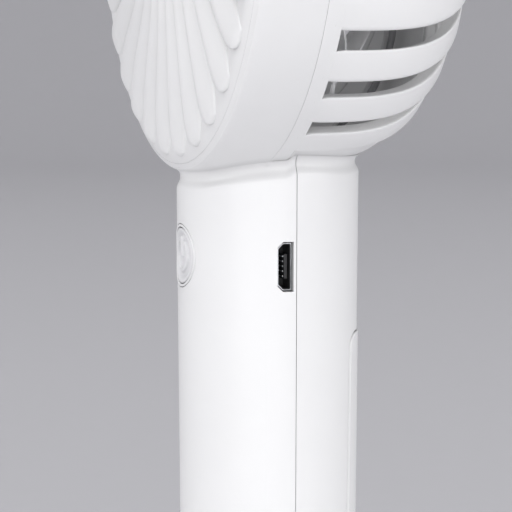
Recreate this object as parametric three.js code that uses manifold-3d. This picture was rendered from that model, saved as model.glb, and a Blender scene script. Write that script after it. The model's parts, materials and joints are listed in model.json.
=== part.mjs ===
// Handheld electric fan: round handle with a removable cell, power button and charging socket,
// and a round head with a swirled front grille, a slotted rear guard and a motor-driven impeller.
// Millimetres, +Z up. The origin is the centre of the flat base. The front faces -Y.

import * as THREE from 'three';
import { mergeVertices } from 'three/addons/utils/BufferGeometryUtils.js';
import Module from 'manifold-3d';

const wasm = await Module();
wasm.setup();

// ---------------------------------------------------------------- driving dimensions

const HANDLE_LENGTH = 112;
const HANDLE_TOP_R = 15;
const HANDLE_BASE_R = 14;
const HANDLE_WALL = 2.4;
const BASE_ROUND = 1.5;
const HEAD_R = 47;
const HEAD_Z = HANDLE_LENGTH + HEAD_R;
const NECK_R = 14.3;
const NECK_STRIP = 1.2;
const GAP = 0.3;
const SEAM_HALF = 0.12;
const FLOOR_Z = 2.4;
const FAR = 60;
const SKY_Z = 240;
const UNDERGROUND_Z = -5;

// Head, measured along Y from the head's centre.
const FRONT_Y = -16.4;
const RING_FILLET = 4;
const HEAD_SEAM_Y = -4.5;
const RING_INNER_R = 45.2;
const LEDGE_INNER_R = 43.6;
const LEDGE_FRONT_Y = -12.6;
const LEDGE_BACK_Y = -11.2;
const LIP_OUTER_R = 44.9;
const LIP_INNER_R = 43.2;
const LIP_FRONT_Y = -7.5;
const SLOT_START_Y = -1.8;
const DOME_DEPTH = 29.3;
const DOME_Y_POWER = 2 / 3.5;
const DOME_R_POWER = 2 / 2.7;
const GUARD_WALL = 2.6;
const GUARD_SLOTS = 26;
const SLOT_HALF_ANGLE = 1.9;
const END_BAR_ANGLE = 27;
const SLOT_INNER_R = 19;
const CUP_OUTER_R = 14.2;
const CUP_INNER_R = 12.5;
const CUP_FRONT_Y = 5.6;
const CUP_FLOOR_Y = 6.9;
const CUP_BACK_Y = 26;
const COVER_R = 15.8;
const COVER_SEAT_Y = 25.6;
const RIBS = 30;
const RIB_PHASE = 0.87;
const RIB_TIP_R = 44.2;
const RIB_ROOT_R = 9;
const RIB_SWIRL = 20;
const RIB_CREST_Y = -19.4;
const RIB_BACK_Y = -15;
const RIB_ROUND_START_R = 40.4;
const RIM_INNER_R = 42.4;
const RIM_BACK_Y = -12.9;
const CENTRE_CAP_R = 9;

// Motor and impeller, along the same axis.
const MOTOR_R = 12.2;
const MOTOR_FRONT_Y = 7.2;
const MOTOR_LENGTH = 15;
const SHAFT_R = 1;
const BORE_R = 1.3;
const BLADES = 5;
const BLADE_TIP_R = 41;
const HUB_R = 14;
const MOTOR_SCREW_X = 6.5;
const SCREW_HOLE_R = 1.1;

// Handle contents.
const BUTTON_Z = 98.7;
const BUTTON_R = 4.5;
const BUTTON_FLANGE_R = 5.5;
const BUTTON_RING_R = 5.1;
const SOCKET_Z = 97.6;
const SOCKET_Y = -1.8;
const BOARD_FRONT_Y = -4.5;
const BOARD_THICK = 1.2;
const BOARD_Z0 = 87.5;
const BOARD_Z1 = 108;
const CELL_R = 9.2;
const CELL_Y = 1.5;
const CELL_Z0 = 12.9;
const CELL_LENGTH = 63.5;
const DOOR_HALF_WIDTH = 10;
const DOOR_TOP_Z = 86;
const DOOR_BOTTOM_Z = 1.8;
const DOOR_CORNER_R = 2.4;
const DOOR_THICK = 1.3;
const DOOR_PROUD = 0.25;
const DOOR_TRAVEL = 8;
const LAND_DEPTH = 1.6;
const BAY_HALF_WIDTH = 9.4;
const SHELL_SCREWS_Z = [4.6, 83];
const HOOKS_Z = [22, 62];
const HOOK_HEIGHT = 5;
const BOARD_SCREWS = [[-7.8, 90.5], [7.8, 104.5]];
const BASE_CAP_R = 11;
const BASE_SEAT_Z = 2.5;
const BULKHEADS_Z = [[7, 8.2], [79.2, 80.8]];
const WIRE_R = 0.6;
const WIRE_PASS_Y = 10;
const WIRE_PASS_HALF = [2.6, 2.2];

// ---------------------------------------------------------------- materials

function finish(color, roughness, metalness = 0) {
  return new THREE.MeshStandardMaterial({ color, roughness, metalness });
}

const whiteGloss = finish(0xf4f4f2, 0.3);
const whiteSatin = finish(0xededeb, 0.4);
const steel = finish(0xb8bcc0, 0.35, 1);
const brass = finish(0xc8a24a, 0.35, 1);
const blackPlastic = finish(0x1b1b1d, 0.5);
const boardGreen = finish(0x1f5a35, 0.45);
const cellWrap = finish(0x2f6fa8, 0.35);
const redWire = finish(0xb02020, 0.45);
const blackWire = finish(0x1a1a1a, 0.45);
const whiteWire = finish(0xe6e6e4, 0.45);
const greyWire = finish(0xa8a8aa, 0.45);
const ledClear = finish(0xe8ecf2, 0.15);
const copper = finish(0xb87333, 0.4, 1);

// ---------------------------------------------------------------- solids and booleans

// A closed three.js geometry as a manifold solid. Triangles that collapse on the axis are dropped,
// and the faces are turned outwards when the profile ran the other way.
function solid(geometry) {
  const bare = geometry.clone();
  bare.deleteAttribute('normal');
  bare.deleteAttribute('uv');
  const merged = mergeVertices(bare, 1e-4);
  const index = merged.getIndex().array;
  const positions = merged.getAttribute('position').array;
  const kept = [];
  for (let i = 0; i < index.length; i += 3) {
    const [a, b, c] = [index[i], index[i + 1], index[i + 2]];
    if (a !== b && b !== c && c !== a) kept.push(a, b, c);
  }
  if (signedVolume(positions, kept) < 0) kept.reverse();
  const mesh = new wasm.Mesh({
    numProp: 3,
    vertProperties: Float32Array.from(positions),
    triVerts: Uint32Array.from(kept),
  });
  return new wasm.Manifold(mesh);
}

function signedVolume(positions, index) {
  const [a, b, c] = [new THREE.Vector3(), new THREE.Vector3(), new THREE.Vector3()];
  let volume = 0;
  for (let i = 0; i < index.length; i += 3) {
    a.fromArray(positions, index[i] * 3);
    b.fromArray(positions, index[i + 1] * 3);
    c.fromArray(positions, index[i + 2] * 3);
    volume += a.dot(b.cross(c)) / 6;
  }
  return volume;
}

function toMesh(name, body, material) {
  const { vertProperties, triVerts } = body.getMesh();
  const geometry = new THREE.BufferGeometry();
  geometry.setAttribute('position', new THREE.BufferAttribute(Float32Array.from(vertProperties), 3));
  geometry.setIndex(new THREE.BufferAttribute(Uint32Array.from(triVerts), 1));
  geometry.computeVertexNormals();
  const mesh = new THREE.Mesh(geometry, material);
  mesh.name = name;
  return mesh;
}

function union(bodies) {
  return bodies.reduce((all, body) => all.add(body));
}

// Profile points are [radius, distance along the axis].
function turnedY(points, segments = 40) {
  return solid(new THREE.LatheGeometry(points.map(([r, y]) => new THREE.Vector2(r, y)), segments));
}

function turnedZ(points, segments = 40) {
  const geometry = new THREE.LatheGeometry(points.map(([r, z]) => new THREE.Vector2(r, z)), segments);
  return solid(geometry.rotateX(Math.PI / 2));
}

function rodY(radius, y0, y1, x = 0, z = 0, segments = 24) {
  const geometry = new THREE.CylinderGeometry(radius, radius, y1 - y0, segments);
  return solid(geometry.translate(x, (y0 + y1) / 2, z));
}

function block(x0, x1, y0, y1, z0, z1) {
  const geometry = new THREE.BoxGeometry(x1 - x0, y1 - y0, z1 - z0);
  return solid(geometry.translate((x0 + x1) / 2, (y0 + y1) / 2, (z0 + z1) / 2));
}

function atHead(body) {
  return body.translate([0, 0, HEAD_Z]);
}

function arc(cx, cy, radius, from, to, steps) {
  const points = [];
  for (let i = 0; i <= steps; i++) {
    const angle = THREE.MathUtils.degToRad(from + (to - from) * i / steps);
    points.push([cx + radius * Math.cos(angle), cy + radius * Math.sin(angle)]);
  }
  return points;
}

// ---------------------------------------------------------------- shared forms

function handleRadius(z) {
  return HANDLE_BASE_R + (HANDLE_TOP_R - HANDLE_BASE_R) * z / HANDLE_LENGTH;
}

// The handle's tapered outside, moved in or out by an offset, between two heights.
function handleCone(offset, z0, z1) {
  return turnedZ([[0, z0], [handleRadius(z0) + offset, z0], [handleRadius(z1) + offset, z1], [0, z1]]);
}

function handleOutside() {
  const top = HANDLE_LENGTH + 4;
  const foot = arc(HANDLE_BASE_R - BASE_ROUND, BASE_ROUND, BASE_ROUND, -90, 0, 3);
  return turnedZ([[0, 0], ...foot, [handleRadius(top), top], [0, top]]);
}

// The rear dome's profile, from the slots' start to the pole, moved inwards along its normal.
function domeProfile(inset, steps) {
  const points = [];
  for (let i = 0; i <= steps; i++) {
    const s = Math.PI / 2 * i / steps;
    const y = SLOT_START_Y + (DOME_DEPTH - inset) * Math.pow(Math.sin(s), DOME_Y_POWER);
    const r = (HEAD_R - inset) * Math.pow(Math.cos(s), DOME_R_POWER);
    points.push([i === steps ? 0 : r, y]);
  }
  return points;
}

// The head's outside as one solid, grown by an offset, for trimming the neck and handle under it.
function headEnvelope(offset) {
  const front = FRONT_Y - 4;
  return atHead(turnedY([[0, front], [HEAD_R + offset, front], ...domeProfile(-offset, 7)], 60));
}

function handleHollow() {
  const inside = handleCone(-HANDLE_WALL, FLOOR_Z, HANDLE_LENGTH + 3);
  return inside.subtract(atHead(rodY(HEAD_R + NECK_STRIP, -FAR, FAR, 0, 0, 60)));
}

// Handle and neck as one solid, before it is split at the seam into the two shells.
function handleBody() {
  const grip = handleOutside().subtract(headEnvelope(NECK_STRIP));
  const neckZ = [HANDLE_LENGTH - 12, HANDLE_LENGTH + 6];
  const neck = turnedZ([[0, neckZ[0]], [NECK_R, neckZ[0]], [NECK_R, neckZ[1]], [0, neckZ[1]]]);
  const behindSeam = block(-FAR, FAR, HEAD_SEAM_Y - 0.1, FAR, FAR, SKY_Z);
  const underGuard = headEnvelope(GAP).intersect(behindSeam);
  const insideRing = atHead(rodY(HEAD_R - 1, -FAR, HEAD_SEAM_Y + 1, 0, 0, 60));
  return grip.add(neck.subtract(underGuard).subtract(insideRing)).subtract(handleHollow());
}

// Opening between the neck and the head for the motor leads.
function wirePassage() {
  const [x, y] = WIRE_PASS_HALF;
  return block(-x, x, WIRE_PASS_Y - y, WIRE_PASS_Y + y, HANDLE_LENGTH - 4, HANDLE_LENGTH + 8);
}

function baseCapSeat() {
  const r = BASE_CAP_R + GAP;
  return turnedZ([[0, -1], [r, -1], [r, BASE_SEAT_Z], [0, BASE_SEAT_Z]]);
}

// ---------------------------------------------------------------- casings

// Depth of the head's rounded front edge at a radius.
function frontFilletY(r) {
  const across = Math.max(0, r - (HEAD_R - RING_FILLET));
  return FRONT_Y + RING_FILLET - Math.sqrt(RING_FILLET ** 2 - across ** 2);
}

function headRing() {
  const start = THREE.MathUtils.radToDeg(Math.acos((RING_INNER_R - HEAD_R + RING_FILLET) / RING_FILLET));
  return atHead(turnedY([
    ...arc(HEAD_R - RING_FILLET, FRONT_Y + RING_FILLET, RING_FILLET, -start, 0, 3),
    [HEAD_R, HEAD_SEAM_Y], [RING_INNER_R, HEAD_SEAM_Y], [RING_INNER_R, LEDGE_BACK_Y],
    [LEDGE_INNER_R, LEDGE_BACK_Y], [LEDGE_INNER_R, LEDGE_FRONT_Y], [RING_INNER_R, LEDGE_FRONT_Y],
    [RING_INNER_R, frontFilletY(RING_INNER_R)],
  ], 52));
}

function frontShell() {
  const ring = headRing();
  const pocketEnd = -8;
  const boardGap = BOARD_FRONT_Y - GAP;
  let body = handleBody().intersect(block(-FAR, FAR, -FAR, -SEAM_HALF, UNDERGROUND_Z, SKY_Z));
  for (const z of SHELL_SCREWS_Z) {
    const boss = rodY(2.3, -13.5, -SEAM_HALF, 0, z, 16);
    body = body.add(boss.intersect(handleCone(-0.8, 0, HANDLE_LENGTH)));
  }
  for (const [x, z] of BOARD_SCREWS) {
    body = body.add(rodY(1.8, -9.9, boardGap, x, z, 12));
  }
  const clearOfHead = atHead(rodY(RING_INNER_R, -FAR, FAR, 0, 0, 52));
  body = body.add(ring).subtract(clearOfHead.subtract(ring));
  for (const z of SHELL_SCREWS_Z) {
    body = body.subtract(rodY(1.3, pocketEnd, 1, 0, z, 12));
  }
  for (const [x, z] of BOARD_SCREWS) {
    body = body.subtract(rodY(0.85, pocketEnd - 0.9, boardGap + 1, x, z, 12));
  }
  body = body.subtract(rodY(BUTTON_RING_R + 0.25, -20, -10, 0, BUTTON_Z, 36));
  body = body.subtract(socketCutout()).subtract(baseCapSeat());
  return toMesh('front_shell', body, whiteGloss);
}

// Outline of the charging socket: chamfered corners on the side towards the front.
function socketOutline(width, height) {
  const chamfer = height * 0.11;
  const shape = new THREE.Shape();
  shape.moveTo(-width / 2, -height / 2 + chamfer);
  shape.lineTo(-width / 2 + chamfer, -height / 2);
  shape.lineTo(width / 2, -height / 2);
  shape.lineTo(width / 2, height / 2);
  shape.lineTo(-width / 2 + chamfer, height / 2);
  shape.lineTo(-width / 2, height / 2 - chamfer);
  shape.closePath();
  return shape;
}

// The outline's width runs along Y and its height along Z; it is extruded along X.
function socketPrism(width, height, x0, x1) {
  const shape = socketOutline(width, height);
  const geometry = new THREE.ExtrudeGeometry(shape, { depth: x1 - x0, bevelEnabled: false });
  const upright = new THREE.Matrix4().set(0, 0, 1, x0, 1, 0, 0, SOCKET_Y, 0, 1, 0, SOCKET_Z, 0, 0, 0, 1);
  return solid(geometry.applyMatrix4(upright));
}

function socketCutout() {
  const pocket = block(8, 13.7, SOCKET_Y - 1.5, SOCKET_Y + 1.7, SOCKET_Z - 4.1, SOCKET_Z + 4.1);
  return socketPrism(2.3, 7.9, 8, 18).add(pocket);
}

// The door's outline seen from behind, pushed through the rear wall.
function doorPrism(grow, z0) {
  const w = DOOR_HALF_WIDTH + grow;
  const top = DOOR_TOP_Z + grow;
  const r = DOOR_CORNER_R + grow;
  const shape = new THREE.Shape();
  shape.moveTo(-w, z0);
  shape.lineTo(w, z0);
  shape.lineTo(w, top - r);
  shape.absarc(w - r, top - r, r, 0, Math.PI / 2, false);
  shape.lineTo(-w + r, top);
  shape.absarc(-w + r, top - r, r, Math.PI / 2, Math.PI, false);
  shape.closePath();
  const depth = 20;
  const geometry = new THREE.ExtrudeGeometry(shape, { depth, bevelEnabled: false, curveSegments: 5 });
  return solid(geometry.rotateX(Math.PI / 2).translate(0, depth + 2, 0));
}

function rearShell() {
  const deep = 20;
  const hookNotchHalf = BAY_HALF_WIDTH + 0.7;
  const inside = handleCone(-0.5, 0, HANDLE_LENGTH);
  const wallMiddle = handleCone(-HANDLE_WALL / 2, 0, HANDLE_LENGTH);
  let body = handleBody().intersect(block(-FAR, FAR, SEAM_HALF, FAR, UNDERGROUND_Z, SKY_Z));
  for (const [z0, z1] of BULKHEADS_Z) {
    body = body.add(block(-13, 13, SEAM_HALF, 13, z0, z1).intersect(wallMiddle));
  }
  for (const z of SHELL_SCREWS_Z) {
    body = body.add(rodY(2.6, SEAM_HALF, 12.5, 0, z, 16).intersect(inside));
  }
  const recess = doorPrism(0.25, UNDERGROUND_Z).subtract(handleCone(-LAND_DEPTH, -6, HANDLE_LENGTH));
  body = body.subtract(recess);
  const [bayZ0, bayZ1] = [BULKHEADS_Z[0][1], BULKHEADS_Z[1][0]];
  body = body.subtract(block(-BAY_HALF_WIDTH, BAY_HALF_WIDTH, 5, deep, bayZ0, bayZ1));
  for (const z of HOOKS_Z) {
    const notchZ = z - DOOR_TRAVEL;
    const notchTop = notchZ + HOOK_HEIGHT + 0.4;
    body = body.subtract(block(-hookNotchHalf, hookNotchHalf, 5, deep, notchZ - 0.4, notchTop));
  }
  for (const z of SHELL_SCREWS_Z) {
    body = body.subtract(rodY(1.3, -1, deep, 0, z, 12)).subtract(rodY(2.2, 10.2, deep, 0, z, 16));
  }
  body = body.subtract(wirePassage()).subtract(baseCapSeat());
  return toMesh('rear_shell', body, whiteGloss);
}

function baseCap() {
  const top = BASE_SEAT_Z - 0.4;
  const body = turnedZ([[0, 0], [BASE_CAP_R, 0], [BASE_CAP_R, top], [0, top]]);
  return toMesh('base_cap', body, whiteSatin);
}

function batteryDoor() {
  const within = handleCone(-DOOR_THICK, -3, HANDLE_LENGTH + 1);
  const plate = handleCone(DOOR_PROUD, -2, HANDLE_LENGTH).subtract(within);
  const besideCell = handleCone(-HANDLE_WALL - 0.2, 0, HANDLE_LENGTH);
  let body = doorPrism(0, DOOR_BOTTOM_Z).intersect(plate);
  for (const z of HOOKS_Z) {
    for (const side of [-1, 1]) {
      const leg = block(8.3, 9.1, 7.4, 11.4, z, z + HOOK_HEIGHT);
      const foot = block(8.3, 9.8, 6.6, 7.4, z, z + HOOK_HEIGHT);
      const hook = leg.add(foot).intersect(besideCell.add(leg));
      body = body.add(side > 0 ? hook : hook.mirror([1, 0, 0]));
    }
  }
  return toMesh('battery_door', body, whiteGloss);
}

// One slot between two guard bars, pointing along +X before it is turned about Y.
function slotWedge() {
  const slope = Math.tan(THREE.MathUtils.degToRad(SLOT_HALF_ANGLE));
  const outer = HEAD_R + 6;
  const shape = new THREE.Shape();
  shape.moveTo(SLOT_INNER_R, -SLOT_INNER_R * slope);
  shape.lineTo(outer, -outer * slope);
  shape.lineTo(outer, outer * slope);
  shape.lineTo(SLOT_INNER_R, SLOT_INNER_R * slope);
  shape.closePath();
  const depth = DOME_DEPTH + 10;
  const geometry = new THREE.ExtrudeGeometry(shape, { depth, bevelEnabled: false });
  return solid(geometry.rotateX(Math.PI / 2).translate(0, SLOT_START_Y + 0.1 + depth, 0));
}

function guardDome() {
  const seam = HEAD_SEAM_Y + 0.2;
  const outside = domeProfile(0, 5);
  const inside = domeProfile(GUARD_WALL, 3).reverse();
  const lip = [[LIP_INNER_R, LIP_FRONT_Y], [LIP_OUTER_R, LIP_FRONT_Y], [LIP_OUTER_R, seam]];
  return turnedY([[HEAD_R, seam], ...outside, ...inside, ...lip, [HEAD_R, seam]], 48);
}

function motorCup() {
  return turnedY([[3.5, CUP_FRONT_Y], [CUP_OUTER_R, CUP_FRONT_Y], [CUP_OUTER_R, CUP_BACK_Y],
    [CUP_INNER_R, CUP_BACK_Y], [CUP_INNER_R, CUP_FLOOR_Y], [3.5, CUP_FLOOR_Y], [3.5, CUP_FRONT_Y]], 24);
}

function rearGuard() {
  let body = guardDome();
  const pitch = (360 - 2 * END_BAR_ANGLE) / GUARD_SLOTS;
  for (let i = 0; i < GUARD_SLOTS; i++) {
    const angle = 90 + END_BAR_ANGLE + (i + 0.5) * pitch;
    body = body.subtract(slotWedge().rotate([0, angle, 0]));
  }
  const coverSeat = rodY(COVER_R + GAP, COVER_SEAT_Y, COVER_SEAT_Y + 7, 0, 0, 24);
  const leadNotch = block(-2.6, 2.6, 19.5, 24.4, -16, -10);
  body = body.add(motorCup()).subtract(coverSeat);
  body = body.subtract(rodY(CUP_INNER_R + 0.8, 23.5, 30, 0, 0, 24)).subtract(leadNotch);
  for (const x of [-MOTOR_SCREW_X, MOTOR_SCREW_X]) {
    body = body.subtract(rodY(SCREW_HOLE_R, CUP_FRONT_Y - 1, CUP_FLOOR_Y + 1, x, 0, 12));
  }
  body = body.subtract(wirePassage().translate([0, 0, -HEAD_Z]));
  return toMesh('rear_guard', body, whiteGloss);
}

function motorCover() {
  const flangeY = COVER_SEAT_Y + GAP;
  const plugR = CUP_INNER_R + 0.5;
  const body = turnedY([[0, 28.2], [9, 28.1], [14.6, 27.6], [COVER_R, 26.7], [COVER_R, flangeY],
    [plugR, flangeY], [plugR, 24.3], [plugR - 1, 24.3], [plugR - 1, flangeY], [0, flangeY]], 24);
  return toMesh('motor_cover', body, whiteGloss);
}

// ---------------------------------------------------------------- front grille

// Half width of a leaf-shaped rib at a radius: fills its share of the circle, rounded at the tip.
function ribHalfWidth(r) {
  const share = Math.PI * r / RIBS;
  const gap = 0.55 + 0.012 * r;
  const pastRound = Math.max(0, (r - RIB_ROUND_START_R) / (RIB_TIP_R - RIB_ROUND_START_R));
  const toTip = Math.max(0, 1 - Math.pow(pastRound, 2.2));
  return (share - gap) * (0.12 + 0.88 * Math.sqrt(toTip));
}

function ribSwirl(r) {
  const fromTip = (RIB_TIP_R - r) / (RIB_TIP_R - RIB_ROOT_R);
  return THREE.MathUtils.degToRad(RIB_SWIRL) * Math.pow(fromTip, 1.6);
}

// The ribs' crests form a shallow dome that falls to the rim.
function ribCrest(r) {
  const rise = Math.pow(1 - Math.pow(r / (RIB_TIP_R + 0.2), 2), 0.7);
  return THREE.MathUtils.lerp(FRONT_Y + 0.1, RIB_CREST_Y, rise);
}

// A box with a ridge along its middle, bent into a swirled leaf.
function grilleRib() {
  const geometry = new THREE.BoxGeometry(1, 1, 1, 4, 1, 2);
  const position = geometry.getAttribute('position');
  for (let i = 0; i < position.count; i++) {
    const along = position.getX(i) + 0.5;
    const front = position.getY(i) < 0;
    const across = position.getZ(i) * 2;
    const r = RIB_ROOT_R + (RIB_TIP_R - RIB_ROOT_R) * Math.pow(along, 0.72);
    const half = ribHalfWidth(r);
    const crest = ribCrest(r);
    const shoulder = THREE.MathUtils.lerp(crest, RIB_BACK_Y, Math.abs(across) * 0.5);
    const y = front ? shoulder : RIB_BACK_Y + 0.2;
    const angle = ribSwirl(r) + across * half / r;
    position.setXYZ(i, r * Math.cos(angle), y, r * Math.sin(angle));
  }
  return solid(geometry);
}

function frontGrille() {
  const rimFrontY = frontFilletY(LIP_OUTER_R);
  const rim = turnedY([[LIP_OUTER_R, rimFrontY], [LIP_OUTER_R, RIM_BACK_Y], [RIM_INNER_R, RIM_BACK_Y],
    [RIM_INNER_R, FRONT_Y + 0.2], [HEAD_R - RING_FILLET, FRONT_Y + 0.1], [LIP_OUTER_R, rimFrontY]], 40);
  const capSeatR = CENTRE_CAP_R + 0.4;
  const hub = turnedY([[0, -18], [capSeatR, -18], [capSeatR, -18.9], [capSeatR + 1, -18.8],
    [capSeatR + 1.4, RIB_BACK_Y], [0, RIB_BACK_Y]], 20);
  const bodies = [rim, hub];
  const rib = grilleRib();
  for (let i = 0; i < RIBS; i++) {
    bodies.push(rib.rotate([0, 360 * (i + RIB_PHASE) / RIBS, 0]));
  }
  return toMesh('front_grille', union(bodies), whiteGloss);
}

function centreCap() {
  const [front, back] = [-19.9, -18.3];
  const dome = [[0, front], [6, front + 0.1], [8.6, front + 0.6], [CENTRE_CAP_R, back], [0, back]];
  const body = turnedY(dome, 24);
  return toMesh('centre_cap', body, whiteSatin);
}

// ---------------------------------------------------------------- motor and impeller

// A flat box, twisted and cambered into a blade that reaches out along +X.
function blade() {
  const geometry = new THREE.BoxGeometry(1, 1, 1, 4, 1, 3);
  const position = geometry.getAttribute('position');
  for (let i = 0; i < position.count; i++) {
    const along = position.getX(i) + 0.5;
    const side = position.getY(i) * 2;
    const across = position.getZ(i) * 2;
    const r = HUB_R - 1 + (BLADE_TIP_R - HUB_R + 1.5) * along;
    const halfChord = 7.5 + 7 * Math.sin(Math.PI * Math.min(1, along * 0.62));
    const pitch = THREE.MathUtils.degToRad(46 - 20 * along);
    const camber = 1.6 * (1 - across * across);
    const thick = 0.75 - 0.25 * along;
    const chordwise = across * halfChord + 3 * along;
    const normal = camber + side * thick;
    const tangent = chordwise * Math.cos(pitch) - normal * Math.sin(pitch);
    const axial = -2.5 + chordwise * Math.sin(pitch) * 0.9 + normal * Math.cos(pitch);
    position.setXYZ(i, r, axial, tangent);
  }
  return solid(geometry);
}

function impeller() {
  const hub = turnedY([[0, -5.6], [BORE_R, -5.6], [BORE_R, 3], [3, 3], [3, -6.4], [12.3, -6.4], [12.6, 3.8],
    [HUB_R, 3.8], [HUB_R, -6.5], [12.6, -8.3], [8, -9.2], [0, -9.5]], 24);
  const swept = turnedY([[0, -10], [BLADE_TIP_R, -10], [BLADE_TIP_R, 9], [0, 9]], 40);
  const core = turnedY([[0, -12], [HUB_R - 0.6, -12], [HUB_R - 0.6, 12], [0, 12]], 24);
  const bodies = [hub];
  const one = blade().intersect(swept).subtract(core);
  for (let i = 0; i < BLADES; i++) {
    bodies.push(one.rotate([0, 360 * i / BLADES, 0]));
  }
  return toMesh('impeller', union(bodies), whiteSatin);
}

function motorCan() {
  const back = MOTOR_FRONT_Y + MOTOR_LENGTH;
  const front = MOTOR_FRONT_Y;
  let body = turnedY([[BORE_R, 5.9], [3.2, 5.9], [3.2, front], [MOTOR_R, front], [MOTOR_R, back],
    [MOTOR_R - 1, back], [MOTOR_R - 1, front + 1.2], [BORE_R, front + 1.2], [BORE_R, 5.9]], 20);
  for (const x of [-MOTOR_SCREW_X, MOTOR_SCREW_X]) {
    body = body.subtract(rodY(SCREW_HOLE_R, front - 2, front + 2, x, 0, 12));
  }
  return toMesh('motor_can', body, steel);
}

function motorEndCap() {
  const y0 = MOTOR_FRONT_Y + MOTOR_LENGTH - 1.4;
  const body = turnedY([[BORE_R, y0], [10.9, y0], [10.9, y0 + 1.2], [3.4, y0 + 1.2], [3.4, y0 + 2],
    [BORE_R, y0 + 2], [BORE_R, y0]], 20);
  return toMesh('motor_end_cap', body, blackPlastic);
}

function motorArmature() {
  const y0 = MOTOR_FRONT_Y + 2.4;
  const body = turnedY([[BORE_R, y0], [10.2, y0], [10.2, y0 + 8.5], [4, y0 + 8.5], [4, y0 + 10.5],
    [BORE_R, y0 + 10.5], [BORE_R, y0]], 20);
  return toMesh('motor_armature', body, copper);
}

function motorShaft() {
  return toMesh('motor_shaft', rodY(SHAFT_R, -5.3, 23.6, 0, 0, 16), steel);
}

function motorTerminal(index, side) {
  const y0 = MOTOR_FRONT_Y + MOTOR_LENGTH + 0.1;
  const x = side * 6;
  return toMesh(`motor_terminal_${index}`, block(x - 1, x + 1, y0, y0 + 0.5, -5, -1), brass);
}

// A pan-head screw along Y, its head towards -Y when turn is 1 and towards +Y when it is -1.
function screw(name, headR, headH, shankR, length, turn) {
  const points = [[0, 0], [headR * 0.8, 0], [headR, headH * 0.4], [headR, headH], [shankR, headH],
    [shankR, length], [0, length + shankR]];
  const [reach, depth, slit] = [headR * 0.6, headH * 0.45, 0.25];
  const bar = block(-reach, reach, -1, depth, -slit, slit);
  const cross = bar.add(bar.rotate([0, 90, 0]));
  const body = turnedY(points, 8).subtract(cross);
  return toMesh(name, turn > 0 ? body : body.rotate([180, 0, 0]), steel);
}

// ---------------------------------------------------------------- handle contents

function powerButton() {
  const cap = rodY(BUTTON_R, -16, -10.9, 0, BUTTON_Z, 32).intersect(handleCone(0.05, 80, 110));
  const flange = rodY(BUTTON_FLANGE_R, -10.9, -10.1, 0, BUTTON_Z, 24);
  const stem = rodY(1.5, -10.2, -9.7, 0, BUTTON_Z, 16);
  return toMesh('power_button', cap.add(flange).add(stem), whiteGloss);
}

function buttonRing() {
  const hole = rodY(BUTTON_R + 0.25, -17, -10, 0, BUTTON_Z, 32);
  const ring = rodY(BUTTON_RING_R, -16, -11.3, 0, BUTTON_Z, 32).subtract(hole);
  return toMesh('button_ring', ring.intersect(handleCone(0.1, 80, 110)), whiteSatin);
}

function switchBody() {
  const body = block(-3, 3, -8.1, BOARD_FRONT_Y - 0.1, BUTTON_Z - 3, BUTTON_Z + 3);
  return toMesh('switch_body', body.subtract(rodY(2, -9, -6.8, 0, BUTTON_Z, 20)), blackPlastic);
}

function switchPlunger() {
  return toMesh('switch_plunger', rodY(1.7, -9.4, -7.6, 0, BUTTON_Z, 18), whiteSatin);
}

function circuitBoard() {
  let body = block(-10.4, 10.4, BOARD_FRONT_Y, BOARD_FRONT_Y + BOARD_THICK, BOARD_Z0, BOARD_Z1);
  for (const [x, z] of BOARD_SCREWS) {
    body = body.subtract(rodY(0.9, -6, -2, x, z, 16));
  }
  return toMesh('circuit_board', body, boardGreen);
}

function chargeChip() {
  const y = BOARD_FRONT_Y + BOARD_THICK;
  return toMesh('charge_chip', block(-2.5, 2.5, y + 0.1, y + 1.7, 98, 102), blackPlastic);
}

function chargeLed() {
  return toMesh('charge_led', block(-0.8, 0.8, -5.5, BOARD_FRONT_Y - 0.1, 91, 91.8), ledClear);
}

function socketShell() {
  const body = socketPrism(2.5, 7.5, 9.4, 13.5).subtract(socketPrism(1.95, 6.95, 10, 15));
  return toMesh('usb_socket_shell', body, steel);
}

function socketTongue() {
  const y = SOCKET_Y + 0.4;
  const body = block(10.2, 13.4, y - 0.3, y + 0.3, SOCKET_Z - 2, SOCKET_Z + 2);
  return toMesh('usb_socket_tongue', body, blackPlastic);
}

function atCell(points, segments) {
  return turnedZ(points, segments).translate([0, CELL_Y, 0]);
}

function batteryCell() {
  const top = CELL_Z0 + CELL_LENGTH;
  const body = atCell([[0, CELL_Z0], [CELL_R - 0.6, CELL_Z0], [CELL_R, CELL_Z0 + 0.6], [CELL_R, top - 4],
    [CELL_R - 0.5, top - 3.5], [CELL_R, top - 3], [CELL_R, top - 0.5], [CELL_R - 0.6, top], [0, top]], 24);
  return toMesh('battery_cell', body, cellWrap);
}

function batteryPositiveCap() {
  const z = CELL_Z0 + CELL_LENGTH + 0.1;
  const body = atCell([[0, z], [3.1, z], [3.1, z + 1.1], [2.6, z + 1.4], [0, z + 1.4]], 20);
  return toMesh('battery_positive_cap', body, steel);
}

function positiveContact() {
  const plate = block(-4, 4, -1.5, 6, 78.3, 78.7);
  const tab = block(-6.4, -3.8, -4, -1.3, 78.3, 78.7).add(block(-4.4, -3.8, -4, 1, 78.3, 78.7));
  return toMesh('positive_contact', plate.add(tab), brass);
}

function negativePlate() {
  const plate = block(-5.5, 5.5, -4.5, 7, 8.4, 8.8);
  const tab = block(3.6, 6.2, -9.2, -4.3, 8.4, 8.8);
  return toMesh('negative_plate', plate.add(tab), brass);
}

// Conical contact spring between the plate and the cell.
class SpringCurve extends THREE.Curve {
  getPoint(t, target = new THREE.Vector3()) {
    const turns = 3.25;
    const angle = t * turns * Math.PI * 2;
    const r = THREE.MathUtils.lerp(4.6, 2.6, t);
    return target.set(r * Math.cos(angle), CELL_Y + r * Math.sin(angle), THREE.MathUtils.lerp(9.4, 12.2, t));
  }
}

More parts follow.
